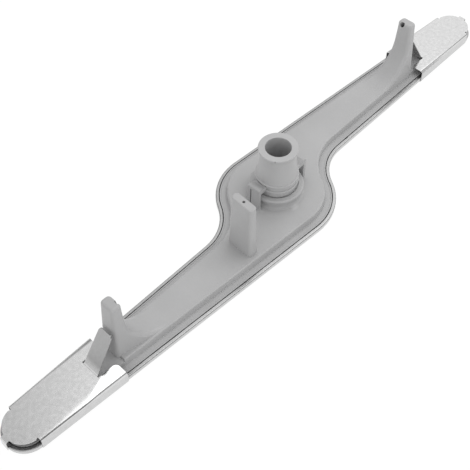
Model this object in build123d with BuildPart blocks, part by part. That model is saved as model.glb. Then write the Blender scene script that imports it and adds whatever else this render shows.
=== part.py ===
from build123d import *
from math import acos, atan2, cos, degrees, sin
import os

os.makedirs("parts", exist_ok=True)

# Two-ended lower spray arm of a dishwasher, lying with its machine side up.
# Millimetres. The origin is on the hub axis, on the flat outer face of the steel shell.
# +X runs along the arm, +Z runs up the hub. The whole plan repeats after half a turn.

# Plan of the joint line between steel lip and cover
tip_x = 231.9              # centre of the round end, along the arm
tip_y = -2.5                # and beside it
tip_radius = 12.55
bulge_radius = 39.8         # round middle about the hub
waist_x = 64.0              # centre of the hollow curve that touches the bulge
waist_y = -43.8
waist_reach = (waist_x**2 + waist_y**2) ** 0.5
waist_radius = waist_reach - bulge_radius

# Steel shell
sheet = 0.6
rim_width = 2.35            # lip turned in over the cover
rim_height = 5.2
shell_corner = 2.6          # rounded bottom edge
rim_bend = 0.7

jets = ((62, 4, 20), (104, -5, 90), (142, 3, 65), (176, -2, 90), (205, 1, 35))
jet_length = 9.0
jet_width = 2.2

# Base cover
fit = 0.15                  # cover to steel
foot_gap = 0.2
foot_bevel = 1.4            # clears the rounded corner inside the shell
seam_gap = 0.35             # room for the seal between lip and cover
cover_wall = 1.8
flange_z = 5.0
flange_floor = 3.2
foot_inset = 5.2            # foot of the raised channel, in from the joint line
deck_z = 10.2               # top of the raised channel
deck_inset = 5.9            # its top edge leans in a little
deck_round = 1.0
low_deck_z = 8.35           # the channel is lower where the caps slide over it
bead_inset = 0.95
bead_width = 0.8
bead_rise = 0.3

# Hub
collar_top = 18.5
collar_rim = 19.0
collar_wall_radius = 17.4
collar_bore = 15.25
collar_foot = 2.2
rim_roll = 2.6              # height of the rolled rim of the collar
bush_run = 0.06             # running clearance in the collar
ledge_z = 10.7
water_way = 10.5
bush_foot = ledge_z + 0.3
bush_bore = 8.8
bush_mouth = 12.2
spigot_top = 17.2
bush_lip_radius = 13.6
bush_top = 52.5
bush_lip = 1.6
neck_top_radius = 12.0
neck_foot_radius = 14.2
neck_foot_z = 29.0
bead_radius = 15.0
lower_bead_z = 23.1
bead_height = 1.7
groove_radius = 14.1

# Latch lugs on either side of the collar
lug_face = 22.2             # outer face, from the hub axis along X
lug_wall = 1.9
lug_from = -2.3             # the lug on the -X side, along Y
lug_to = 7.9
lug_top = 29.0
lug_slot = 0.9
lug_slot_y = 4.9
hook_reach = 14.45
hook_low = 24.35
hook_high = 26.9

# Nozzle towers at the ends, in the frame of their own arm (u outward, v beside)
tower_top = 55.5
tower_face_foot = 165.2     # outboard face at the deck
tower_lean = 2.2            # it leans in this much up to the crown
crown_depth = 7.4
ramp_length = 39.6          # from the outboard face to where the ramp leaves the deck
tower_face_top = tower_face_foot - tower_lean
crown_edge = tower_face_top - crown_depth
tower_root = tower_face_foot - ramp_length
deck_end = tower_face_foot - 1.7    # the high deck stops inside the end towers
tower_round = 2.6
crown_round = 2.0
way_top = 47.5
jet_radius = 1.8
jet_side = 0.3

# Nozzle tower beside the hub
mid_tower_x = -52.6
mid_tower_y = -13.3
mid_tower_turn = -7.1
mid_tower_top = 54.5
mid_jet_radius = 1.0

# End caps
cap_sheet = 0.5
cap_gap = 0.1               # sliding room between cap and shell
cap_top = 10.7
cap_bend = 1.5
cap_inner_end = tower_face_foot + 3.4
cap_flange_end = tip_x - 0.6
cap_end_inset = 1.8         # the round end of the plate stops short of the shell's side
notch = 1.4
notch_side = 12.6
lip_low = 0.4
mouth_round = 3.2           # corners of the cut-out that the tongue leaves
slot_half = 7.55
tongue_half_foot = 6.35
tongue_half_top = 5.4
tongue_rise = 24.4
tongue_lean = 15.3
tongue_fold = cap_inner_end + 13.3
slot_end = tongue_fold + 0.7
tab_half = 2.7
tab_low = 2.6


# Tangent line of two circles: a circle with a negative radius is touched on its other side
def touch(centre_a, radius_a, centre_b, radius_b, side):
    gap_x = centre_b[0] - centre_a[0]
    gap_y = centre_b[1] - centre_a[1]
    reach = (gap_x**2 + gap_y**2) ** 0.5
    turn = atan2(gap_y, gap_x) + side * acos((radius_a - radius_b) / reach)
    normal = (cos(turn), sin(turn))
    point_a = (centre_a[0] + radius_a * normal[0], centre_a[1] + radius_a * normal[1])
    point_b = (centre_b[0] + radius_b * normal[0], centre_b[1] + radius_b * normal[1])
    return point_a, point_b


def turned(point):
    return (-point[0], -point[1])


tip = (tip_x, tip_y)
waist = (waist_x, waist_y)
hub = (0.0, 0.0)
upper_tip, upper_bulge = touch(tip, tip_radius, hub, bulge_radius, -1)
lower_tip, lower_waist = touch(tip, tip_radius, waist, -waist_radius, 1)
bulge_waist = (waist_x * bulge_radius / waist_reach, waist_y * bulge_radius / waist_reach)

# The frame of the far arm lies midway between its two straight sides
upper_angle = atan2(upper_tip[1] - upper_bulge[1], upper_tip[0] - upper_bulge[0])
lower_angle = atan2(lower_tip[1] - lower_waist[1], lower_tip[0] - lower_waist[0])
arm_angle = (upper_angle + lower_angle) / 2
arm_x = (cos(arm_angle), sin(arm_angle), 0)
arm_side = -tip_x * sin(arm_angle) + tip_y * cos(arm_angle)
arm_origin = (-sin(arm_angle) * arm_side, cos(arm_angle) * arm_side, 0)
tip_u = tip_x * cos(arm_angle) + tip_y * sin(arm_angle)
arm_floor = Plane(origin=arm_origin, x_dir=arm_x, z_dir=(0, 0, 1))
arm_wall = Plane(origin=arm_origin, x_dir=arm_x, z_dir=(sin(arm_angle), -cos(arm_angle), 0))
end_reach = tip_u + tip_radius + rim_width
print("arm angle", round(degrees(arm_angle), 2), "tip u", round(tip_u, 2), "shell end", round(end_reach, 2))

# Joint line
waist_mid_turn = atan2(lower_waist[1] - waist_y, lower_waist[0] - waist_x) / 2 + (
    atan2(-waist_y, -waist_x) / 2
)
waist_mid = (waist_x + waist_radius * cos(waist_mid_turn), waist_y + waist_radius * sin(waist_mid_turn))
bulge_side = (bulge_radius * cos(-1.15), bulge_radius * sin(-1.15))
tip_far = (tip_x + tip_radius * cos(arm_angle), tip_y + tip_radius * sin(arm_angle))
with BuildSketch() as seam_plan:
    with BuildLine():
        Line(upper_bulge, upper_tip)
        ThreePointArc(upper_tip, tip_far, lower_tip)
        Line(lower_tip, lower_waist)
        ThreePointArc(lower_waist, waist_mid, bulge_waist)
        ThreePointArc(bulge_waist, bulge_side, turned(upper_bulge))
        Line(turned(upper_bulge), turned(upper_tip))
        ThreePointArc(turned(upper_tip), turned(tip_far), turned(lower_tip))
        Line(turned(lower_tip), turned(lower_waist))
        ThreePointArc(turned(lower_waist), turned(waist_mid), turned(bulge_waist))
        ThreePointArc(turned(bulge_waist), turned(bulge_side), upper_bulge)
    make_face()


# The joint line moved outward, or inward with a minus sign
def outline(shift):
    with BuildSketch() as moved:
        add(seam_plan.sketch)
        offset(amount=shift)
    return moved.sketch


# Steel shell: a shallow tray whose lip is turned in over the cover
with BuildPart() as shell_room:
    with BuildSketch(Plane.XY.offset(sheet)):
        add(outline(rim_width - sheet))
    extrude(amount=rim_height - 2 * sheet)
    fillet(shell_room.faces().sort_by(Axis.Z)[0].edges(), shell_corner - sheet)

with BuildPart() as shell:
    with BuildSketch():
        add(outline(rim_width))
    extrude(amount=rim_height)
    fillet(shell.faces().sort_by(Axis.Z)[0].edges(), shell_corner)
    fillet(shell.faces().sort_by(Axis.Z)[-1].edges(), rim_bend)
    add(shell_room.part, mode=Mode.SUBTRACT)
    with BuildSketch(Plane.XY.offset(rim_height - 2 * sheet)):
        add(seam_plan.sketch)
    extrude(amount=3 * sheet, mode=Mode.SUBTRACT)
    # Wash jets: slots set at their own angles so that the fans overlap
    for half_turn in (0, 180):
        for jet_u, jet_v, jet_turn in jets:
            place = arm_floor.from_local_coords((jet_u, jet_v, 0)).rotate(Axis.Z, half_turn)
            with BuildSketch(Plane.XY.offset(-1)):
                with Locations((place.X, place.Y)):
                    SlotOverall(jet_length, jet_width, rotation=jet_turn + degrees(arm_angle))
            extrude(amount=2 + sheet, mode=Mode.SUBTRACT)

shell.part.label = "spray_shell"
export_step(shell.part, "parts/spray_shell.step")
print("shell", round(shell.part.volume))

# End tower, seen from the side: a concave ramp on the hub side, a steep face on the outer side
with BuildPart() as end_tower:
    with BuildSketch(arm_wall):
        with BuildLine():
            Polyline(
                (tower_root, flange_floor),
                (tower_face_foot + 0.4, flange_floor),
                (tower_face_top, tower_top),
                (crown_edge, tower_top),
            )
            Spline(
                (crown_edge, tower_top),
                (crown_edge - 0.2, 42.0),
                (crown_edge - 2.4, 27.5),
                (crown_edge - 9.0, 18.0),
                (tower_root, deck_z),
                tangents=((0, -1), (-1, 0)),
            )
            Line((tower_root, deck_z), (tower_root, flange_floor))
        make_face()
    extrude(amount=20, both=True)
    # Seen from above: the sides close in towards the top
    with BuildSketch(arm_floor.offset(flange_floor)):
        with Locations((tower_face_foot, 0)):
            Polygon((-60, -11.4), (10, -9.9), (10, 3.6), (-60, 15.0), align=None)
    with BuildSketch(arm_floor.offset(tower_top + 1)):
        with Locations((tower_face_foot, 0)):
            Polygon((-60, -7.4), (10, -7.0), (10, 4.1), (-60, 5.6), align=None)
    loft(mode=Mode.INTERSECT)
    rising = [e for e in end_tower.edges() if e.bounding_box().size.Z > 20]
    fillet(rising, tower_round)
    fillet(end_tower.faces().sort_by(Axis.Z)[-1].edges(), crown_round)

# Tower beside the hub: an upright blade set square to the straight side of the arm
with BuildPart() as mid_tower:
    with BuildSketch(Plane.XY.offset(flange_floor)):
        with Locations(Location((mid_tower_x - 0.5, mid_tower_y, 0), (0, 0, mid_tower_turn))):
            RectangleRounded(8.4, 21.4, 2.4)
    with BuildSketch(Plane.XY.offset(mid_tower_top)):
        with Locations(Location((mid_tower_x, mid_tower_y, 0), (0, 0, mid_tower_turn))):
            RectangleRounded(6.0, 18.6, 2.4)
    loft()
    fillet(mid_tower.faces().sort_by(Axis.Z)[-1].edges(), 0.9)

# Water ways inside the towers
with BuildPart() as end_way:
    with BuildSketch(arm_floor.offset(-1)):
        with Locations((tower_face_foot - 5.8, -1.4)):
            RectangleRounded(9.0, 8.0, 2.0)
    with BuildSketch(arm_floor.offset(way_top)):
        with Locations((tower_face_top - 3.6, -0.8)):
            RectangleRounded(3.6, 4.6, 1.2)
    loft()
    with BuildSketch(Plane(origin=arm_floor.from_local_coords((tower_face_top - 1.0, jet_side, way_top - 1.0)),
                           x_dir=arm_wall.z_dir,
                           z_dir=arm_floor.x_dir * -0.62 + Vector(0, 0, 0.79))):
        Circle(jet_radius)
    extrude(amount=14)

with BuildPart() as mid_way:
    with BuildSketch(Plane.XY.offset(-1)):
        with Locations(Location((mid_tower_x - 0.3, mid_tower_y, 0), (0, 0, mid_tower_turn))):
            RectangleRounded(4.6, 14.0, 1.6)
    with BuildSketch(Plane.XY.offset(way_top)):
        with Locations(Location((mid_tower_x, mid_tower_y, 0), (0, 0, mid_tower_turn))):
            RectangleRounded(2.6, 9.0, 1.0)
    loft()
    with BuildSketch(Plane.XY.offset(way_top - 1)):
        with Locations((mid_tower_x, mid_tower_y)):
            Circle(mid_jet_radius)
    extrude(amount=10)

# Water channel under the deck, open towards the shell
with BuildPart() as channel:
    with BuildSketch(Plane.XY.offset(-1)):
        add(outline(-foot_inset - cover_wall))
    extrude(amount=deck_z - cover_wall + 1)
    for half_turn in (0, 180):
        end_place = arm_floor.from_local_coords((deck_end + 58, 0, 0)).rotate(Axis.Z, half_turn)
        with BuildSketch(Plane.XY.offset(low_deck_z - cover_wall)):
            with Locations(Location((end_place.X, end_place.Y, 0), (0, 0, degrees(arm_angle)))):
                Rectangle(120, 60)
        extrude(amount=deck_z, mode=Mode.SUBTRACT)

# Raised deck: high between the end towers, lower where the caps slide over it
with BuildPart() as deck:
    with BuildSketch(Plane.XY.offset(flange_z - 0.4)):
        add(outline(-foot_inset))
    with BuildSketch(Plane.XY.offset(deck_z)):
        add(outline(-deck_inset))
    loft()
    for half_turn in (0, 180):
        end_place = arm_floor.from_local_coords((deck_end + 60, 0, 0)).rotate(Axis.Z, half_turn)
        with BuildSketch(Plane.XY.offset(low_deck_z)):
            with Locations(Location((end_place.X, end_place.Y, 0), (0, 0, degrees(arm_angle)))):
                Rectangle(120, 60)
        extrude(amount=deck_z, mode=Mode.SUBTRACT)
    fillet(deck.faces().sort_by(Axis.Z)[-1].edges(), deck_round)

# Hub collar with a rolled rim, standing on the deck
with BuildPart() as collar:
    with BuildSketch(Plane.XZ):
        with BuildLine():
            Polyline(
                (water_way, deck_z - cover_wall),
                (collar_wall_radius + collar_foot, deck_z - cover_wall),
                (collar_wall_radius + collar_foot, deck_z),
            )
            RadiusArc(
                (collar_wall_radius + collar_foot, deck_z),
                (collar_wall_radius, deck_z + collar_foot),
                collar_foot,
            )
            Polyline(
                (collar_wall_radius, deck_z + collar_foot),
                (collar_wall_radius, collar_top - rim_roll),
                (collar_rim, collar_top - rim_roll),
                (collar_rim, collar_top),
                (collar_bore, collar_top),
                (collar_bore, ledge_z),
                (water_way, ledge_z),
                (water_way, deck_z - cover_wall),
            )
        make_face()
    revolve(axis=Axis.Z)
    rim_edges = collar.edges().filter_by(GeomType.CIRCLE).filter_by(
        lambda e: e.radius > collar_rim - 0.01 and e.center().Z > deck_z + 1
    )
    fillet(rim_edges, 1.1)

# Latch lug: an upright wall whose hook reaches into the groove of the bush
with BuildPart() as lug:
    with BuildSketch(Plane.XZ.offset(-lug_to)):
        Polygon(
            (-lug_face - 0.5, deck_z - 0.5),
            (-lug_face + lug_wall, deck_z - 0.5),
            (-lug_face + lug_wall, hook_low),
            (-collar_rim + 6, hook_low),
            (-collar_rim + 6, hook_high),
            (-bead_radius - 0.7, hook_high),
            (-lug_face + 2.4, lug_top),
            (-lug_face, lug_top),
            align=None,
        )
    extrude(amount=lug_to - lug_from)
    Cylinder(hook_reach, 60, mode=Mode.SUBTRACT)
    fillet(lug.edges().filter_by(Axis.Y).sort_by(Axis.Z)[-2:], 0.4)
    with BuildSketch(Plane.XZ.offset(-lug_slot_y - lug_slot / 2)):
        with Locations((-lug_face, (lug_top + deck_z) / 2 + 0.5)):
            Rectangle(4 * lug_wall, lug_top - deck_z - 5)
    extrude(amount=lug_slot, mode=Mode.SUBTRACT)

# Base cover: one moulding
with BuildPart() as cover:
    with BuildSketch(Plane.XY.offset(sheet + foot_gap)):
        add(outline(rim_width - sheet - fit - foot_bevel))
    with BuildSketch(Plane.XY.offset(sheet + foot_gap + foot_bevel)):
        add(outline(rim_width - sheet - fit))
    loft()
    with BuildSketch(Plane.XY.offset(sheet + foot_gap + foot_bevel)):
        add(outline(rim_width - sheet - fit))
    extrude(amount=rim_height - 3 * sheet - foot_gap - foot_bevel)
    with BuildSketch(Plane.XY.offset(flange_floor)):
        add(outline(-seam_gap))
    extrude(amount=flange_z - flange_floor)
    add(deck.part)
    for half_turn in (0, 180):
        add(end_tower.part, rotation=(0, 0, half_turn))
    add(mid_tower.part)
    # Hollow inside
    with BuildSketch(Plane.XY.offset(0)):
        add(outline(rim_width - sheet - fit - cover_wall))
    extrude(amount=flange_floor, mode=Mode.SUBTRACT)
    add(channel.part, mode=Mode.SUBTRACT)
    for half_turn in (0, 180):
        add(end_way.part, rotation=(0, 0, half_turn), mode=Mode.SUBTRACT)
    add(mid_way.part, mode=Mode.SUBTRACT)
    with BuildSketch():
        Circle(collar_wall_radius)
    extrude(amount=collar_top, mode=Mode.SUBTRACT)
    add(collar.part)
    for half_turn in (0, 180):
        add(lug.part, rotation=(0, 0, half_turn))
    # Small bead along the edge of the flange
    with BuildSketch(Plane.XY.offset(flange_z - 0.1)):
        add(outline(-bead_inset + bead_width / 2))
        add(outline(-bead_inset - bead_width / 2), mode=Mode.SUBTRACT)
    extrude(amount=bead_rise + 0.1)

cover.part.label = "base_cover"
export_step(cover.part, "parts/base_cover.step")
print("cover", round(cover.part.volume), cover.part.is_valid, len(cover.solids()))

# Seal: a thin ring squeezed under the lip and up into the joint
with BuildPart() as seal:
    with BuildSketch(Plane.XY.offset(rim_height - 2 * sheet)):
        add(outline(rim_width - sheet - fit))
        add(outline(-seam_gap), mode=Mode.SUBTRACT)
    extrude(amount=sheet)
    with BuildSketch(Plane.XY.offset(rim_height - sheet)):
        add(seam_plan.sketch)
        add(outline(-seam_gap), mode=Mode.SUBTRACT)
    extrude(amount=sheet - 0.3)
seal.part.label = "seam_seal"
export_step(seal.part, "parts/seam_seal.step")
print("seal", round(seal.part.volume), seal.part.is_valid, len(seal.solids()))

# Hub bush: a flared sleeve that turns in the collar
with BuildPart() as bush:
    with BuildSketch(Plane.XZ):
        with BuildLine():
            Polyline(
                (bush_bore, bush_top),
                (bush_lip_radius, bush_top),
                (bush_lip_radius, bush_top - bush_lip),
                (neck_top_radius, bush_top - bush_lip - 0.8),
                (neck_foot_radius, neck_foot_z),
                (bead_radius, neck_foot_z),
                (bead_radius, neck_foot_z - bead_height),
                (groove_radius, neck_foot_z - bead_height),
                (groove_radius, lower_bead_z + bead_height / 2),
                (bead_radius, lower_bead_z + bead_height / 2),
                (bead_radius, lower_bead_z - bead_height / 2),
                (groove_radius, lower_bead_z - bead_height / 2),
                (groove_radius, spigot_top),
                (collar_bore - bush_run, spigot_top),
                (collar_bore - bush_run, bush_foot),
                (bush_mouth, bush_foot),
                (bush_mouth, lower_bead_z - 3),
                (bush_bore, lower_bead_z + 5),
                (bush_bore, bush_top),
            )
        make_face()
    revolve(axis=Axis.Z)
    fillet(
        bush.edges().filter_by(GeomType.CIRCLE).filter_by(lambda e: abs(e.radius - bead_radius) < 0.01), 0.6
    )
    fillet(
        bush.edges().filter_by(GeomType.CIRCLE).filter_by(lambda e: abs(e.radius - bush_lip_radius) < 0.01),
        0.5,
    )
    fillet(bush.edges().filter_by(GeomType.CIRCLE).sort_by(Axis.Z)[-2:].sort_by(SortBy.RADIUS)[0], 0.5)
bush.part.label = "hub_bush"
export_step(bush.part, "parts/hub_bush.step")
print("bush", round(bush.part.volume), bush.part.is_valid)

# End cap: one folded sheet that slides over the end of the arm
with BuildPart() as cap_room:
    with BuildSketch(Plane.XY.offset(-cap_gap)):
        add(outline(rim_width + cap_gap))
    extrude(amount=cap_top - cap_sheet + cap_gap)
    fillet(cap_room.faces().sort_by(Axis.Z)[0].edges(), shell_corner + cap_gap)
    fillet(cap_room.faces().sort_by(Axis.Z)[-1].edges(), cap_bend - cap_sheet)

# The tongue is bent up out of the plate and leans on the tower
with BuildPart() as tongue:
    with BuildSketch(arm_wall):
        with BuildLine():
            fold_line = Polyline(
                (tongue_fold + 2, cap_top - cap_sheet / 2),
                (tongue_fold, cap_top - cap_sheet / 2),
                (tongue_fold - tongue_lean, cap_top + tongue_rise),
            )
            fillet(fold_line.vertices()[1], 1.6)
        trace(line_width=cap_sheet)
    extrude(amount=tongue_half_foot, both=True)
    with BuildSketch(Plane(origin=arm_origin, x_dir=arm_floor.y_dir, z_dir=arm_x)) as tongue_view:
        Polygon(
            (-tongue_half_foot, cap_top - 2),
            (tongue_half_foot, cap_top - 2),
            (tongue_half_foot, cap_top),
            (tongue_half_top, cap_top + tongue_rise),
            (-tongue_half_top, cap_top + tongue_rise),
            (-tongue_half_foot, cap_top),
            align=None,
        )
        fillet(tongue_view.vertices().group_by(Axis.Y)[-1], 2.4)
    extrude(amount=300, mode=Mode.INTERSECT)

with BuildPart() as cap:
    with BuildSketch(Plane.XY.offset(-cap_gap - cap_sheet)):
        add(outline(rim_width + cap_gap + cap_sheet))
    extrude(amount=cap_top + cap_gap + cap_sheet)
    fillet(cap.faces().sort_by(Axis.Z)[0].edges(), shell_corner + cap_gap + cap_sheet)
    fillet(cap.faces().sort_by(Axis.Z)[-1].edges(), cap_bend)
    add(cap_room.part, mode=Mode.SUBTRACT)
    # Keep the far end, with side flanges whose edges hook under the shell's rounded corner
    with BuildSketch(arm_floor.offset(lip_low)):
        with Locations(((cap_inner_end + cap_flange_end) / 2, 0)):
            Rectangle(cap_flange_end - cap_inner_end, 60)
    extrude(amount=cap_top + 5, mode=Mode.INTERSECT)
    # Flat round end beyond the flanges, with a notch on either side
    with BuildSketch(Plane.XY.offset(cap_top - cap_sheet)):
        add(outline(rim_width - cap_end_inset))
        with Locations(Location((arm_origin[0], arm_origin[1], 0), (0, 0, degrees(arm_angle)))):
            with Locations((cap_flange_end - 2 * tip_x, 0)):
                Rectangle(4 * tip_x, 4 * tip_x, mode=Mode.SUBTRACT)
            with Locations((cap_flange_end, tip_x + notch_side), (cap_flange_end, -tip_x - notch_side)):
                Rectangle(2 * notch, 2 * tip_x, mode=Mode.SUBTRACT)
    extrude(amount=cap_sheet)
    # Tab folded down over the end of the shell
    with BuildSketch(arm_wall):
        with BuildLine():
            tab_line = Polyline(
                (end_reach - 3, cap_top - cap_sheet / 2),
                (end_reach + cap_gap + cap_sheet / 2, cap_top - cap_sheet / 2),
                (end_reach + cap_gap + cap_sheet / 2, tab_low),
            )
            fillet(tab_line.vertices()[1], 0.8)
        trace(line_width=cap_sheet)
    extrude(amount=tab_half, both=True)
    # Cut-out that the tongue leaves, and the two relief cuts beside its fold
    with BuildSketch(arm_floor.offset(cap_top - 3)):
        with Locations(((cap_inner_end + tongue_fold) / 2 - 1, 0)):
            Rectangle(tongue_fold - cap_inner_end + 1, 2 * slot_half)
        relief = slot_half - tongue_half_foot
        with Locations((slot_end - 1.5, slot_half - relief / 2), (slot_end - 1.5, relief / 2 - slot_half)):
            Rectangle(3, relief)
    extrude(amount=6, mode=Mode.SUBTRACT)
    mouth = [
        e
        for e in cap.edges().filter_by(Axis.Z)
        if abs(arm_floor.to_local_coords(e.center()).X - cap_inner_end) < 0.1
        and abs(abs(arm_floor.to_local_coords(e.center()).Y) - slot_half) < 0.1
    ]
    fillet(mouth, mouth_round)
    add(tongue.part)

print("cap", round(cap.part.volume), cap.part.is_valid, len(cap.solids()), len(mouth))
cap.part.label = "end_cap_far"
export_step(cap.part, "parts/end_cap_far.step")

with BuildPart() as near_cap:
    add(cap.part, rotation=(0, 0, 180))
near_cap.part.label = "end_cap_near"
export_step(near_cap.part, "parts/end_cap_near.step")
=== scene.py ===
# %% [markdown]
# # Lower spray arm of a dishwasher
# The arm lies with its machine side up: a grey moulded cover with nozzle towers and the hub,
# closed underneath by a shallow steel shell, with a folded steel cap pushed over each end.
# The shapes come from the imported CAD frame, in metres. This lesson adds what a camera sees:
# the viewpoint, the finishes of plastic, steel and rubber, the seal's squeezed-out bead, and
# a plain white studio.

# %% Load the frame
import bpy
import numpy as np
from mathutils import Matrix, Vector


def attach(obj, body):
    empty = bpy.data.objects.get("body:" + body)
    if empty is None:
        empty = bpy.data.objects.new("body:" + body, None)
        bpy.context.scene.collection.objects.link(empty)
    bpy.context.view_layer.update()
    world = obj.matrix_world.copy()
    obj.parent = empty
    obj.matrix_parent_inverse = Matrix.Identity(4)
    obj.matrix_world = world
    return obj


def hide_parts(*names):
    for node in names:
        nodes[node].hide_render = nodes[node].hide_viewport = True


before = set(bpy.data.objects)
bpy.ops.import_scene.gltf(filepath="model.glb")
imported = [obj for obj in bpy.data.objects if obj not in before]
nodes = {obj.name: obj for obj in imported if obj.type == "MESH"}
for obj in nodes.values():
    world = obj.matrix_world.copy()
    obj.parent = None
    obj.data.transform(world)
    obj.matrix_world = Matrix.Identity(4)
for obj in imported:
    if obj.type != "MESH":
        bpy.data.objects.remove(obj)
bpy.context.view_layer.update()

# %% [markdown]
# ## Camera
# A viewpoint can be set by eye, but here it was solved from the photograph: the arm looks the
# same after half a turn, so each end of it checks the other, and the round hub fixes the tilt.
# The camera is made first, because everything after it is judged through it.

# %% Camera
eye = Vector((-0.33595, -0.23827, 0.47799))
camera_azimuth = np.radians(-50.68)
camera_elevation = np.radians(51.617)
focal_pixels, photo_pixels = 894.29, 470
sensor_width = 36.0


def looking(azimuth, elevation):
    """Turn of the camera: its back axis points from the scene to the eye at the azimuth and
    elevation, its right axis lies level, and up is what is left, as back crossed with right."""
    back = Vector((
        np.sin(azimuth) * np.cos(elevation),
        -np.cos(azimuth) * np.cos(elevation),
        np.sin(elevation),
    ))
    right = Vector((np.cos(azimuth), np.sin(azimuth), 0.0))
    return Matrix((right, back.cross(right), back)).transposed().to_4x4()


lens_data = bpy.data.cameras.new("photo_camera")
lens_data.sensor_width = sensor_width
lens_data.lens = focal_pixels / photo_pixels * sensor_width
lens_data.clip_start = 0.01
camera = bpy.data.objects.new("photo_camera", lens_data)
camera.matrix_world = Matrix.Translation(eye) @ looking(camera_azimuth, camera_elevation)
bpy.context.scene.collection.objects.link(camera)
bpy.context.scene.camera = camera
bpy.context.scene.view_settings.view_transform = "Standard"
print("lens", round(lens_data.lens, 2), "mm, eye", [round(c, 4) for c in eye])

# %% [markdown]
# ## Node helpers
# Each finish below is a small graph of nodes. A graph can be drawn by hand in the shader editor,
# but wiring it is the same work every time, so a few helpers do it here, and a finish then reads
# like a recipe. Patterns are noise in object coordinates, stretched where a finish has a grain.

# %% Wiring helpers
def new_finish(name):
    """A material with an empty graph, its shader and its object coordinates."""
    finish = bpy.data.materials.new(name)
    finish.use_nodes = True
    graph = finish.node_tree
    graph.nodes.clear()
    output = graph.nodes.new("ShaderNodeOutputMaterial")
    shader = graph.nodes.new("ShaderNodeBsdfPrincipled")
    place = graph.nodes.new("ShaderNodeTexCoord")
    graph.links.new(shader.outputs["BSDF"], output.inputs["Surface"])
    return finish, graph, shader, place.outputs["Object"]


def feed(graph, socket, value):
    """Links a node's output to the socket, or writes a plain number or colour on it."""
    if isinstance(value, bpy.types.NodeSocket):
        graph.links.new(value, socket)
    else:
        socket.default_value = value


def reckon(graph, operation, first, second=0.0):
    """One sum on node outputs or plain numbers."""
    node = graph.nodes.new("ShaderNodeMath")
    node.operation = operation
    feed(graph, node.inputs[0], first)
    feed(graph, node.inputs[1], second)
    return node.outputs["Value"]


def blend(graph, first, second, share=1.0, kind="MIX"):
    """The first colour carried towards the second by the share, or multiplied by it."""
    mix = graph.nodes.new("ShaderNodeMix")
    mix.data_type = "RGBA"
    mix.blend_type = kind
    feed(graph, mix.inputs["Factor"], share)
    feed(graph, mix.inputs["A"], first)
    feed(graph, mix.inputs["B"], second)
    return mix.outputs["Result"]


print("wiring", [helper.__name__ for helper in (new_finish, feed, reckon, blend)])

# %% Pattern helpers
def patches(graph, place, scale, stretch=(1, 1, 1), turn=0.0, detail=3.0):
    """Noise from 0 to 1 whose grains are 1/scale metres long, divided by the stretch."""
    mapping = graph.nodes.new("ShaderNodeMapping")
    mapping.inputs["Rotation"].default_value[2] = turn
    mapping.inputs["Scale"].default_value = stretch
    noise = graph.nodes.new("ShaderNodeTexNoise")
    noise.inputs["Scale"].default_value = scale
    noise.inputs["Detail"].default_value = detail
    graph.links.new(place, mapping.inputs["Vector"])
    graph.links.new(mapping.outputs["Vector"], noise.inputs["Vector"])
    return noise.outputs["Fac"]


def spread(graph, value, low, high, start=0.3, end=0.7):
    """The value from start..end carried to low..high, and held outside."""
    node = graph.nodes.new("ShaderNodeMapRange")
    node.inputs["From Min"].default_value = start
    node.inputs["From Max"].default_value = end
    node.inputs["To Min"].default_value = low
    node.inputs["To Max"].default_value = high
    graph.links.new(value, node.inputs["Value"])
    return node.outputs["Result"]


def shades(graph, value, stops):
    """A colour ramp: each stop is a place from 0 to 1 and a linear colour."""
    ramp = graph.nodes.new("ShaderNodeValToRGB")
    band = ramp.color_ramp
    band.elements[0].position, band.elements[0].color = stops[0][0], (*stops[0][1], 1)
    band.elements[1].position, band.elements[1].color = stops[-1][0], (*stops[-1][1], 1)
    for where, colour in stops[1:-1]:
        band.elements.new(where).color = (*colour, 1)
    graph.links.new(value, ramp.inputs["Fac"])
    return ramp.outputs["Color"]


def relief(graph, height, depth, before=None):
    """A bump of the given depth in metres, laid over an earlier one."""
    bump = graph.nodes.new("ShaderNodeBump")
    bump.inputs["Strength"].default_value = 1.0
    bump.inputs["Distance"].default_value = depth
    graph.links.new(height, bump.inputs["Height"])
    if before is not None:
        graph.links.new(before, bump.inputs["Normal"])
    return bump.outputs["Normal"]


print("patterns", [helper.__name__ for helper in (patches, spread, shades, relief)])

# %% [markdown]
# ## Painted highlight and shade on the plastic
# Two small patches of the deck at the foot of the collar are painted paler, a painted highlight
# for the sheen on the collar's foot. A dark spot on the bush's lip is painted shade for a small
# nick in its edge, which the mesh doesn't have. Such marks could be painted on a picture, but a
# round spot in object coordinates needs no picture and stays sharp up close.

# %% Painted spots
# Each mark, painted highlight or painted shade, is its middle, its reach on each axis, and the
# share that the tone is multiplied by
# Painted highlight: two deck patches made paler where the collar's foot shows a sheen
painted_highlight_patches = [
    ((-0.00465, -0.01980, 0.0102), (0.0046, 0.0024, 0.0020), 1.22),
    ((-0.02128, -0.00329, 0.0102), (0.0024, 0.0036, 0.0020), 1.12),
]
# Painted shade: a dark spot stands for the shade in a small nick in the lip's edge
painted_nick_shade = [((-0.01193, -0.00653, 0.0519), (0.00060, 0.00060, 0.0016), 0.55)]
solid_core = 0.3


def spot(graph, place, middle, reach):
    """A round mark: 1 in its core, falling to 0 at its reach on each axis. The place is measured
    from the middle, divided by the reach, and its length turned from core..1 into 1..0."""
    away = graph.nodes.new("ShaderNodeVectorMath")
    away.operation = "SUBTRACT"
    away.inputs[1].default_value = middle
    scaled = graph.nodes.new("ShaderNodeVectorMath")
    scaled.operation = "DIVIDE"
    scaled.inputs[1].default_value = reach
    length = graph.nodes.new("ShaderNodeVectorMath")
    length.operation = "LENGTH"
    graph.links.new(place, away.inputs[0])
    graph.links.new(away.outputs["Vector"], scaled.inputs[0])
    graph.links.new(scaled.outputs["Vector"], length.inputs[0])
    return spread(graph, length.outputs["Value"], 1.0, 0.0, start=solid_core, end=1.0)


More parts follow.
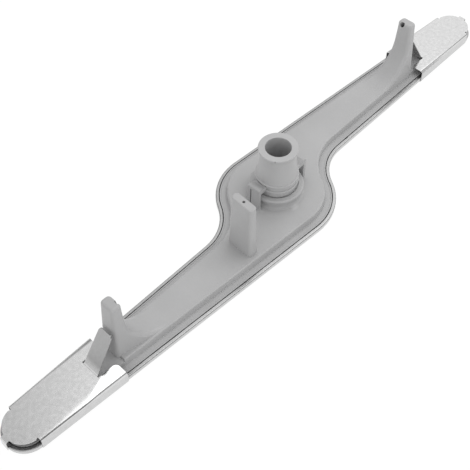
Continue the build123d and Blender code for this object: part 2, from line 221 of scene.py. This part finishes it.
def with_painted_spots(graph, place, colour, marks):
    """The colour times a share inside each mark, which is (middle, reach, share): a painted
    highlight where the share is over 1, painted shade where it is under 1.
    """
    for middle, reach, share in marks:
        inside = spot(graph, place, middle, reach)
        colour = blend(graph, colour, (share, share, share, 1), inside, kind="MULTIPLY")
    return colour


print("marks", len(painted_highlight_patches), "pale on the deck,", len(painted_nick_shade), "dark on the bush's lip")

# %% [markdown]
# ## Moulded grey plastic
# The cover and the hub bush are polypropylene with talc in it: a matt, slightly waxy grey.
# One flat grey would do from across a room. Up close two scales make it real: broad clouds a few
# centimetres wide come from the melt's flow, and a fine grain comes from the tool's eroded
# surface and makes the gloss wander. Neither has a pattern of its own, so both are noise.

# %% Moulded grey plastic
cloud_scale, cloud_depth = 28.0, 0.00012
grain_scale, grain_depth = 2600.0, 0.000012
plastic_sheen = 0.4


def moulded_plastic(name, tone, gloss_low, gloss_high, marks):
    """The tone, a twentieth darker or lighter with the clouds and changed inside the marks, which
    are painted highlight and painted shade. The roughness runs from low to high with the grain,
    and clouds and grain both stand up a little."""
    finish, graph, shader, place = new_finish(name)
    clouds = patches(graph, place, cloud_scale, detail=4.0)
    grain = patches(graph, place, grain_scale, detail=2.0)
    darker, lighter = (tuple(c * share for c in tone) for share in (0.95, 1.05))
    colour = shades(graph, clouds, [(0.30, darker), (0.70, lighter)])
    soft = relief(graph, clouds, cloud_depth)
    feed(graph, shader.inputs["Base Color"], with_painted_spots(graph, place, colour, marks))
    feed(graph, shader.inputs["Roughness"], spread(graph, grain, gloss_low, gloss_high))
    feed(graph, shader.inputs["Normal"], relief(graph, grain, grain_depth, soft))
    feed(graph, shader.inputs["Specular IOR Level"], plastic_sheen)
    print(name, "tone", tone, "roughness", gloss_low, "to", gloss_high)
    return finish


cover_plastic = moulded_plastic(
    "moulded_grey_cover", tone=(0.425, 0.425, 0.427),
    gloss_low=0.36, gloss_high=0.48, marks=painted_highlight_patches,
)
bush_plastic = moulded_plastic(
    "moulded_grey_bush", tone=(0.465, 0.465, 0.467),
    gloss_low=0.32, gloss_high=0.44, marks=painted_nick_shade,
)
print("grain", round(1000 / grain_scale, 2), "mm, clouds", round(1000 / cloud_scale), "mm")

# %% [markdown]
# ## Rolled stainless steel
# The shell and the caps are pressed from thin sheet. The rolls leave fine lines along the coil,
# so the reflections smear a little across them. The lines could be cut into the mesh, but they
# are only about a thousandth of a millimetre deep, so noise that is stretched about thirty times
# along the arm stands for them as a bump. Broader noise, the same in all directions, gives the
# cloudy handling marks on the sheet.

# %% Rolled sheet
lines_scale, lines_stretch, lines_depth = 1100.0, (0.03, 1.0, 1.0), 0.0000012
handling_scale, handling_depth = 380.0, 0.000006


def rolled_steel(name, grey, gloss, turn):
    """Steel with fine lines along the arm and handling marks, which take the grey from 0.945 to
    1.04 of itself and the roughness from 0.02 below the gloss to 0.04 above it."""
    finish, graph, shader, place = new_finish(name)
    lines = patches(graph, place, lines_scale, lines_stretch, turn)
    handling = patches(graph, place, handling_scale, detail=6.0)
    darker, lighter = ((grey * share,) * 3 for share in (0.945, 1.04))
    colour = shades(graph, handling, [(0.32, darker), (0.66, lighter)])
    roughness = spread(graph, handling, gloss - 0.02, gloss + 0.04)
    wave = relief(graph, handling, handling_depth)
    feed(graph, shader.inputs["Metallic"], 1.0)
    return finish, graph, shader, place, lines, colour, roughness, wave


def wire_steel(graph, shader, colour, roughness, wave, lines):
    """The sheet's colour, roughness and bent surface, with the fine lines laid on last."""
    feed(graph, shader.inputs["Base Color"], colour)
    feed(graph, shader.inputs["Roughness"], roughness)
    feed(graph, shader.inputs["Normal"], relief(graph, lines, lines_depth, wave))


print("rolled lines", round(1000 / lines_scale, 2), "mm apart")

# %% Places on the sheet
arm_turn = np.radians(5.23)


def axis_of(graph, place, axis, turn=0.0):
    """One coordinate of the place, after a turn about the upright axis that lines it up with
    the arm."""
    mapping = graph.nodes.new("ShaderNodeMapping")
    mapping.inputs["Rotation"].default_value[2] = turn
    axes = graph.nodes.new("ShaderNodeSeparateXYZ")
    graph.links.new(place, mapping.inputs["Vector"])
    graph.links.new(mapping.outputs["Vector"], axes.inputs["Vector"])
    return axes.outputs[axis]


def by_height(graph, place, heights, low, high):
    """A value that is low under the first height and high over the second."""
    return spread(graph, axis_of(graph, place, "Z"), low, high, *heights)


def shared(graph, place, colour, heights, low, high):
    """The colour times one share under the first height and another over the second."""
    return blend(graph, colour, by_height(graph, place, heights, low, high), kind="MULTIPLY")


def rolled_off(graph, wave, over, curve):
    """The sheet bent away where over is above zero: its height falls by the curve times over
    cubed, so the bend starts softly and its slope grows with the square."""
    beyond = reckon(graph, "MAXIMUM", over, 0.0)
    return relief(graph, reckon(graph, "POWER", beyond, 3.0), -curve, wave)


print("arm lies", round(np.degrees(arm_turn), 2), "degrees off the X axis")

# %% [markdown]
# ## Shell
# The shell's lip is darker and rougher than its walls. The lip could be a piece of its own with a
# second steel, but on the real arm it is the same sheet, so one steel changes over just under the
# lip's height.

# %% Shell steel
lip_height = (0.0045, 0.0051)
lip_share, lip_rub = 0.70, 0.08


def shell_finish(turn):
    """Rolled steel that darkens to the lip's share and gets rougher at the height of the lip."""
    finish, graph, shader, place, lines, colour, roughness, wave = rolled_steel(
        "rolled_steel_shell", grey=0.58, gloss=0.26, turn=turn
    )
    colour = shared(graph, place, colour, lip_height, 1.0, lip_share)
    rubbed = by_height(graph, place, lip_height, 0.0, lip_rub)
    wire_steel(graph, shader, colour, reckon(graph, "ADD", roughness, rubbed), wave, lines)
    return finish


shell_steel = shell_finish(arm_turn)
print("shell", shell_steel.name, "lip share", lip_share)

# %% [markdown]
# ## End caps
# A cap is one folded sheet. Its plate isn't quite flat: it bends over softly towards the outer
# edge, less so towards the tip, and the lobe beside the tongue's cut-out droops. That is what
# makes the white band on the near cap. Here the bends are a bump on the flat plate of the solid,
# which gives their reflections but not their outline: from the side a bent mesh would be truer.
# The tongue gets rougher and darker towards its top, its darkness being painted shade, and the
# walls are a little darker, also painted shade.

# %% Where a cap bends
# In metres: along from the hub's middle, aside outwards from the cap's middle line, and height
# over the floor. A pair is where a change starts and where it ends.
middle_line = 0.01865
band_along, band_aside, band_curve = (0.182, 0.236), (0.0088, 0.0116), 800.0
lobe_along, lobe_aside, lobe_curve = (0.169, 0.198), (0.0030, 0.0146), 34.0
lobe_round = 0.0045
plate_height = (0.0112, 0.0122)
inner_edge, inner_curve = -0.0142, 60000.0
# Painted shade: the cap's walls and its tongue are made darker than the plate
wall_height, wall_painted_shade = (0.0090, 0.0100), 0.86
tongue_height, tongue_painted_shade = (0.0122, 0.0160), 0.64
rub_height, tongue_rub = (0.0128, 0.0150), 0.20
print("outer bend starts", band_aside[0] * 1000, "to", band_aside[1] * 1000, "mm aside")

# %% Cap steel
def drooped(graph, wave, along, aside, on_plate):
    """The lobe bent down: its height falls by a curve times the square of the distance past a
    slanting line, less the square of what is past 4.5 mm, which makes it straight from there.
    All of it is times on_plate, which is 0 above the plate, so the tongue stays as it is."""
    slant = spread(graph, along, *lobe_aside, *lobe_along)
    past = reckon(graph, "MAXIMUM", reckon(graph, "SUBTRACT", aside, slant), 0.0)
    straight = reckon(graph, "MAXIMUM", reckon(graph, "SUBTRACT", past, lobe_round), 0.0)
    squares = (reckon(graph, "POWER", distance, 2.0) for distance in (past, straight))
    droop = reckon(graph, "SUBTRACT", *squares)
    return relief(graph, reckon(graph, "MULTIPLY", droop, on_plate), -lobe_curve, wave)


def cap_finish(turn):
    """Rolled steel bent over past the band's line, at the lobe, and in the last half millimetre of
    the inner edge, with painted shade making it a little darker on the walls and darker up the
    tongue, which is also rougher."""
    finish, graph, shader, place, lines, colour, roughness, wave = rolled_steel(
        "rolled_steel_caps", grey=0.70, gloss=0.18, turn=turn
    )
    along, out = (
        reckon(graph, "ABSOLUTE", axis_of(graph, place, axis, turn)) for axis in ("X", "Y")
    )
    aside = reckon(graph, "SUBTRACT", out, middle_line)
    band = spread(graph, along, *band_aside, *band_along)
    on_plate = by_height(graph, place, plate_height, 1.0, 0.0)
    wave = rolled_off(graph, wave, reckon(graph, "SUBTRACT", aside, band), band_curve)
    wave = drooped(graph, wave, along, aside, on_plate)
    wave = rolled_off(graph, wave, reckon(graph, "SUBTRACT", inner_edge, aside), inner_curve)
    # Painted shade: darker walls and a darker tongue
    colour = shared(graph, place, colour, wall_height, wall_painted_shade, 1.0)
    colour = shared(graph, place, colour, tongue_height, 1.0, tongue_painted_shade)
    rubbed = by_height(graph, place, rub_height, 0.0, tongue_rub)
    wire_steel(graph, shader, colour, reckon(graph, "ADD", roughness, rubbed), wave, lines)
    return finish


cap_steel = cap_finish(arm_turn)
print("caps", cap_steel.name, "wall share", wall_painted_shade, "tongue share", tongue_painted_shade)

# %% [markdown]
# ## Seal rubber
# Only a hair of the seal shows, in the joint between the steel lip and the cover. It reads as a
# dark line. A plain black would look like a drawn line, so it is a nearly black rubber with a
# dusty, uneven dullness.

# %% Seal rubber
dust_scale, dust_depth = 240.0, 0.00004
clean_rubber, dusty_rubber = (0.014, 0.014, 0.015), (0.040, 0.040, 0.041)


def seal_rubber():
    """Rubber whose grey, roughness and relief all follow one noise of dust."""
    finish, graph, shader, place = new_finish("dark_seal_rubber")
    dust = patches(graph, place, dust_scale, detail=5.0)
    colour = shades(graph, dust, [(0.30, clean_rubber), (0.80, dusty_rubber)])
    feed(graph, shader.inputs["Base Color"], colour)
    feed(graph, shader.inputs["Roughness"], spread(graph, dust, 0.55, 0.75))
    feed(graph, shader.inputs["Normal"], relief(graph, dust, dust_depth))
    return finish


seal_finish = seal_rubber()
print("seal", seal_finish.name, "dust", round(1000 / dust_scale, 1), "mm")

# %% [markdown]
# ## The seal's joint line
# When the steel lip is rolled over the cover, it presses the rubber ring up out of the joint, and
# a thin rounded bead follows the whole joint line. That bead is what the eye reads as the dark
# seam. A bevelled curve could follow it, but the path is known exactly: circles round the hub and
# the tips, hollow circles at the waists, and straight tangents between them. A point's normal is
# the same at any distance from the line, so numpy can carry a whole section along it at once.

# %% Joint line
hub_middle, hub_round = np.array([0.0, 0.0]), 0.0398
waist_middle = np.array([0.0640, -0.0438])
waist_round = np.hypot(*waist_middle) - hub_round
tip_middle, tip_round = np.array([0.2319, -0.0025]), 0.01255
hub_points, waist_points, tip_points = 80, 80, 120
bead_step = 0.0009


def tangent_turn(middle_a, round_a, middle_b, round_b, side):
    """Direction of the normal on the common tangent of two circles: the direction from one middle
    to the other, turned by the arc cosine of the difference of the radii over the distance."""
    gap = middle_b - middle_a
    return np.arctan2(gap[1], gap[0]) + side * np.arccos((round_a - round_b) / np.hypot(*gap))


def joint_line(step):
    """Points and outward normals round the joint, and how far along it each point is. On an arc
    the point is the middle plus the radius times the normal, with the radius negative at the
    hollow waist; half a turn gives the other side. The line is cut at even steps of its length."""
    over = tangent_turn(tip_middle, tip_round, hub_middle, hub_round, -1)
    under = tangent_turn(tip_middle, tip_round, waist_middle, -waist_round, 1)
    pinch = np.arctan2(waist_middle[1], waist_middle[0])
    arcs = [
        (hub_middle, hub_round, np.linspace(over - np.pi, pinch, hub_points)),
        (waist_middle, -waist_round, np.linspace(pinch, under, waist_points)[1:]),
        (tip_middle, tip_round, np.linspace(under, over, tip_points)),
    ]
    normals = [np.stack([np.cos(turn), np.sin(turn)], axis=1) for _, _, turn in arcs]
    points = [middle + radius * normal for (middle, radius, _), normal in zip(arcs, normals)]
    side, out = np.concatenate(points), np.concatenate(normals)
    line, out = np.concatenate([side, -side, side[:1]]), np.concatenate([out, -out, out[:1]])
    far = np.concatenate([[0.0], np.cumsum(np.hypot(*np.diff(line, axis=0).T))])
    even = np.linspace(0.0, far[-1], int(far[-1] / step), endpoint=False)
    line = np.stack([np.interp(even, far, line[:, i]) for i in range(2)], axis=1)
    out = np.stack([np.interp(even, far, out[:, i]) for i in range(2)], axis=1)
    return line, out / np.linalg.norm(out, axis=1, keepdims=True), even


joint, joint_out, joint_along = joint_line(bead_step)
print("joint line", round(joint_along[-1] + bead_step, 3), "m long in", len(joint), "steps")

# %% [markdown]
# ## The seal's section
# The ring fills the groove under the lip, and its crown swells out over the joint. An even crown
# would look printed on. Three slow waves along the line make it wider and narrower, as a rolled
# lip does, and at one spot the rubber was squeezed out further.

# %% Seal section
bead_half, bead_rise, bead_middle = 0.00036, 0.00012, -0.000175
# Each wave is its share of the width, its radians a metre, and where it starts
bead_waves = [(0.10, 190, 0.0), (0.08, 431, 1.3), (0.06, 97, 2.1)]
swollen_spot, swollen_reach = np.array([0.0766, -0.0076]), 0.0016
swollen_half, swollen_rise = 0.00055, 0.00022
crown_level, crown_tilt, crown_points = 0.0051, 0.0001, 9
# The foot goes down the joint's inner side, out under the lip, and back up its outer side
foot_across = np.array([-0.00034, -0.00034, 0.00159, 0.00159, -0.00001, -0.00001])
foot_height = np.array([0.00499, 0.00401, 0.00401, 0.00459, 0.00459, 0.00519])


def seal_section(line, along):
    """Section corners at each step, as a distance outwards and a height. The crown is half an
    ellipse: its half width times the cosine, its rise times the sine, tilted a little with the
    cosine. The width is one plus three sines of the length along, and the swollen spot adds a
    bell, e to minus the square of the distance over its reach."""
    waves = (size * np.sin(along * turns + start) for size, turns, start in bead_waves)
    swell = np.exp(-((np.hypot(*(line - swollen_spot).T) / swollen_reach) ** 2))
    half = bead_half * sum(waves, start=1) + swollen_half * swell
    rise = bead_rise + swollen_rise * swell
    crown = np.linspace(0.0, np.pi, crown_points)
    across = bead_middle + half[:, None] * np.cos(crown)
    height = crown_level + crown_tilt * np.cos(crown) + rise[:, None] * np.sin(crown)
    across = np.concatenate([across, np.tile(foot_across, (len(along), 1))], axis=1)
    height = np.concatenate([height, np.tile(foot_height, (len(along), 1))], axis=1)
    return across, height


seal_across, seal_height = seal_section(joint, joint_along)
bead_widths = np.ptp(seal_across[:, :crown_points], axis=1) * 1000
print("bead", bead_widths.min().round(2), "to", bead_widths.max().round(2), "mm wide")

# %% Seal with its bead
def carried(name, line, out, across, height):
    """A closed tube: each corner is the line plus its distance outwards times the normal, at its
    height. Faces join a corner to the next corner and to the next step, both going round."""
    place = line[:, None, :] + across[:, :, None] * out[:, None, :]
    vertices = np.concatenate([place, height[:, :, None]], axis=2).reshape(-1, 3)
    steps, corners = across.shape
    here = np.arange(steps)[:, None] * corners + np.arange(corners)
    there = np.roll(here, -1, axis=0)
    faces = np.stack([here, there, np.roll(there, -1, axis=1), np.roll(here, -1, axis=1)], axis=2)
    faces = faces.reshape(-1, 4)
    mesh = bpy.data.meshes.new(name)
    mesh.from_pydata(vertices.tolist(), [], faces.tolist())
    mesh.polygons.foreach_set("use_smooth", np.ones(len(faces), dtype=bool))
    mesh.update()
    return mesh


seal_mesh = carried("seal_with_bead", joint, joint_out, seal_across, seal_height)
seal_bead = bpy.data.objects.new("seal_with_bead", seal_mesh)
seal_bead.data.materials.append(seal_finish)
bpy.context.scene.collection.objects.link(seal_bead)
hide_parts("seam_seal")
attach(seal_bead, "arm")
seal_low = min(corner[2] for corner in seal_bead.bound_box)
print("seal", len(seal_bead.data.polygons), "faces, low", round(seal_low, 5))

# %% [markdown]
# ## Dressing the CAD pieces
# The other five pieces are the CAD frame's own. Each keeps its mesh and only takes a finish.
# Nothing is smoothed or rounded again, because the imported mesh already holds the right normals:
# flat faces stay flat, and round ones stay smooth.

# %% Dress the pieces
finishes = {
    "base_cover": cover_plastic,
    "hub_bush": bush_plastic,
    "spray_shell": shell_steel,
    "end_cap_near": cap_steel,
    "end_cap_far": cap_steel,
}
for name, finish in finishes.items():
    slots = nodes[name].data.materials
    slots.clear()
    slots.append(finish)
    print(name, len(nodes[name].data.polygons), "faces,", finish.name)

# %% [markdown]
# ## White floor
# The photograph has no visible floor: it is white below and behind, with almost no shadow. With
# no floor at all the arm would float and lose the light that comes up from below. So the floor is
# white paint that shows itself at full white to the camera and to reflections, while it still
# bounces light and takes a faint shadow. From below it is clear.

# %% White floor
floor_half, floor_level = 4.0, -0.0003
floor_white, floor_glow, glow_share = 0.8, 1.05, 0.9


def floor_finish():
    """Paint and glow mixed by the share for rays from the camera or from shiny surfaces, and
    clear where the ray meets the back of the sheet."""
    finish = bpy.data.materials.new("studio_floor")
    finish.use_nodes = True
    graph = finish.node_tree
    graph.nodes.clear()
    output = graph.nodes.new("ShaderNodeOutputMaterial")
    paint = graph.nodes.new("ShaderNodeBsdfDiffuse")
    paint.inputs["Color"].default_value = (floor_white, floor_white, floor_white, 1)
    glow = graph.nodes.new("ShaderNodeEmission")
    glow.inputs["Strength"].default_value = floor_glow
    rays = graph.nodes.new("ShaderNodeLightPath").outputs
    looked_at = reckon(graph, "MAXIMUM", rays["Is Camera Ray"], rays["Is Glossy Ray"])
    clear = graph.nodes.new("ShaderNodeBsdfTransparent")
    side = graph.nodes.new("ShaderNodeNewGeometry")
    top = graph.nodes.new("ShaderNodeMixShader")
    sheet = graph.nodes.new("ShaderNodeMixShader")
    graph.links.new(reckon(graph, "MULTIPLY", looked_at, glow_share), top.inputs["Fac"])
    graph.links.new(paint.outputs["BSDF"], top.inputs[1])
    graph.links.new(glow.outputs["Emission"], top.inputs[2])
    graph.links.new(side.outputs["Backfacing"], sheet.inputs["Fac"])
    graph.links.new(top.outputs["Shader"], sheet.inputs[1])
    graph.links.new(clear.outputs["BSDF"], sheet.inputs[2])
    graph.links.new(sheet.outputs["Shader"], output.inputs["Surface"])
    return finish


def floor_sheet(half, level):
    """A flat square: x and y run from -half to half, z is one level everywhere."""
    x, y = np.meshgrid([-half, half], [-half, half])
    points = np.stack([x.ravel(), y.ravel(), np.full(4, level)], axis=1)
    mesh = bpy.data.meshes.new("studio_floor")
    mesh.from_pydata(points.tolist(), [], [(0, 1, 3, 2)])
    return mesh


floor = bpy.data.objects.new("studio_floor", floor_sheet(floor_half, floor_level))
floor.data.materials.append(floor_finish())
bpy.context.scene.collection.objects.link(floor)
print("floor", 2 * floor_half, "m wide, at", floor_level, "m")

# %% [markdown]
# ## Sky
# Steel shows what stands round it: here bright walls with darker gaps between them, of which each
# face of the arm mirrors another part. A picture of a studio wrapped round the scene could do it,
# but two ramps of grey, one along the arm and one across it, are enough for these surfaces, and
# each stop answers for one band in the steel.

# %% Sky
sky_light = 0.75
sky_walls = [
    (-1.0, 0.55), (-0.92, 0.85), (-0.8, 0.95), (-0.15, 0.95), (-0.02, 0.50),
    (0.12, 0.52), (0.2, 0.70), (0.28, 0.90), (0.5, 1.0), (1.0, 1.0),
]
sky_flanks = [(-1.0, 0.42), (-0.45, 0.46), (-0.2, 1.0), (0.5, 1.0), (0.7, 0.55), (1.0, 0.45)]


def greys_by(graph, coordinate, stops):
    """A grey for each value of the direction's coordinate, which is carried from -1..1 to 0..1."""
    share = spread(graph, coordinate, 0.0, 1.0, start=-1.0, end=1.0)
    return shades(graph, share, [((where + 1) / 2, (grey,) * 3) for where, grey in stops])


def studio_sky(lighting, walls, flanks):
    """White for the camera, an even light for dull surfaces, and walls of several greys for shiny
    ones: the grey along the arm times the grey across it."""
    sky = bpy.data.worlds.new("studio_sky")
    sky.use_nodes = True
    graph = sky.node_tree
    rays = graph.nodes.new("ShaderNodeLightPath").outputs
    direction = graph.nodes.new("ShaderNodeTexCoord")
    axes = graph.nodes.new("ShaderNodeSeparateXYZ")
    graph.links.new(direction.outputs["Generated"], axes.inputs["Vector"])
    along = greys_by(graph, axes.outputs["X"], walls)
    aside = greys_by(graph, axes.outputs["Y"], flanks)
    greys = blend(graph, along, aside, kind="MULTIPLY")
    lit = blend(graph, (lighting, lighting, lighting, 1), greys, rays["Is Glossy Ray"])
    seen = blend(graph, lit, (1, 1, 1, 1), rays["Is Camera Ray"])
    graph.links.new(seen, graph.nodes["Background"].inputs["Color"])
    return sky


bpy.context.scene.world = studio_sky(sky_light, sky_walls, sky_flanks)
print("sky", len(sky_walls), "greys along the arm,", len(sky_flanks), "across it")

# %% [markdown]
# ## Soft panels
# Lamps in a product studio hang in large soft boxes. A wide one hangs high beyond the far end and
# lights the deck, and its edge gives the bright band along the near cap. A smaller one stands on
# the camera's side and lifts the walls that face it. Small lamps would be simpler, but their
# shadows have hard edges, and steel shows them as points.

# %% Soft panels
def soft_panel(name, place, aim, width, height, radiance):
    """An area lamp whose face shines at the given radiance: power is radiance times pi times
    area."""
    lamp = bpy.data.lights.new(name, "AREA")
    lamp.shape = "RECTANGLE"
    lamp.size, lamp.size_y = width, height
    lamp.energy = radiance * np.pi * width * height
    panel = bpy.data.objects.new(name, lamp)
    panel.location = place
    towards = Vector(aim) - Vector(place)
    panel.rotation_euler = towards.to_track_quat("-Z", "Y").to_euler()
    bpy.context.scene.collection.objects.link(panel)
    print(name, "radiance", radiance, "power", round(lamp.energy, 1), "W")


soft_panel(
    "overhead_panel", place=(0.62, -0.15, 1.2), aim=(0.62, -0.15, 0.0),
    width=1.2, height=1.2, radiance=1.5,
)
soft_panel(
    "side_panel", place=(-0.95, -0.85, 0.45), aim=(0.0, 0.0, 0.02),
    width=0.8, height=0.8, radiance=1.1,
)
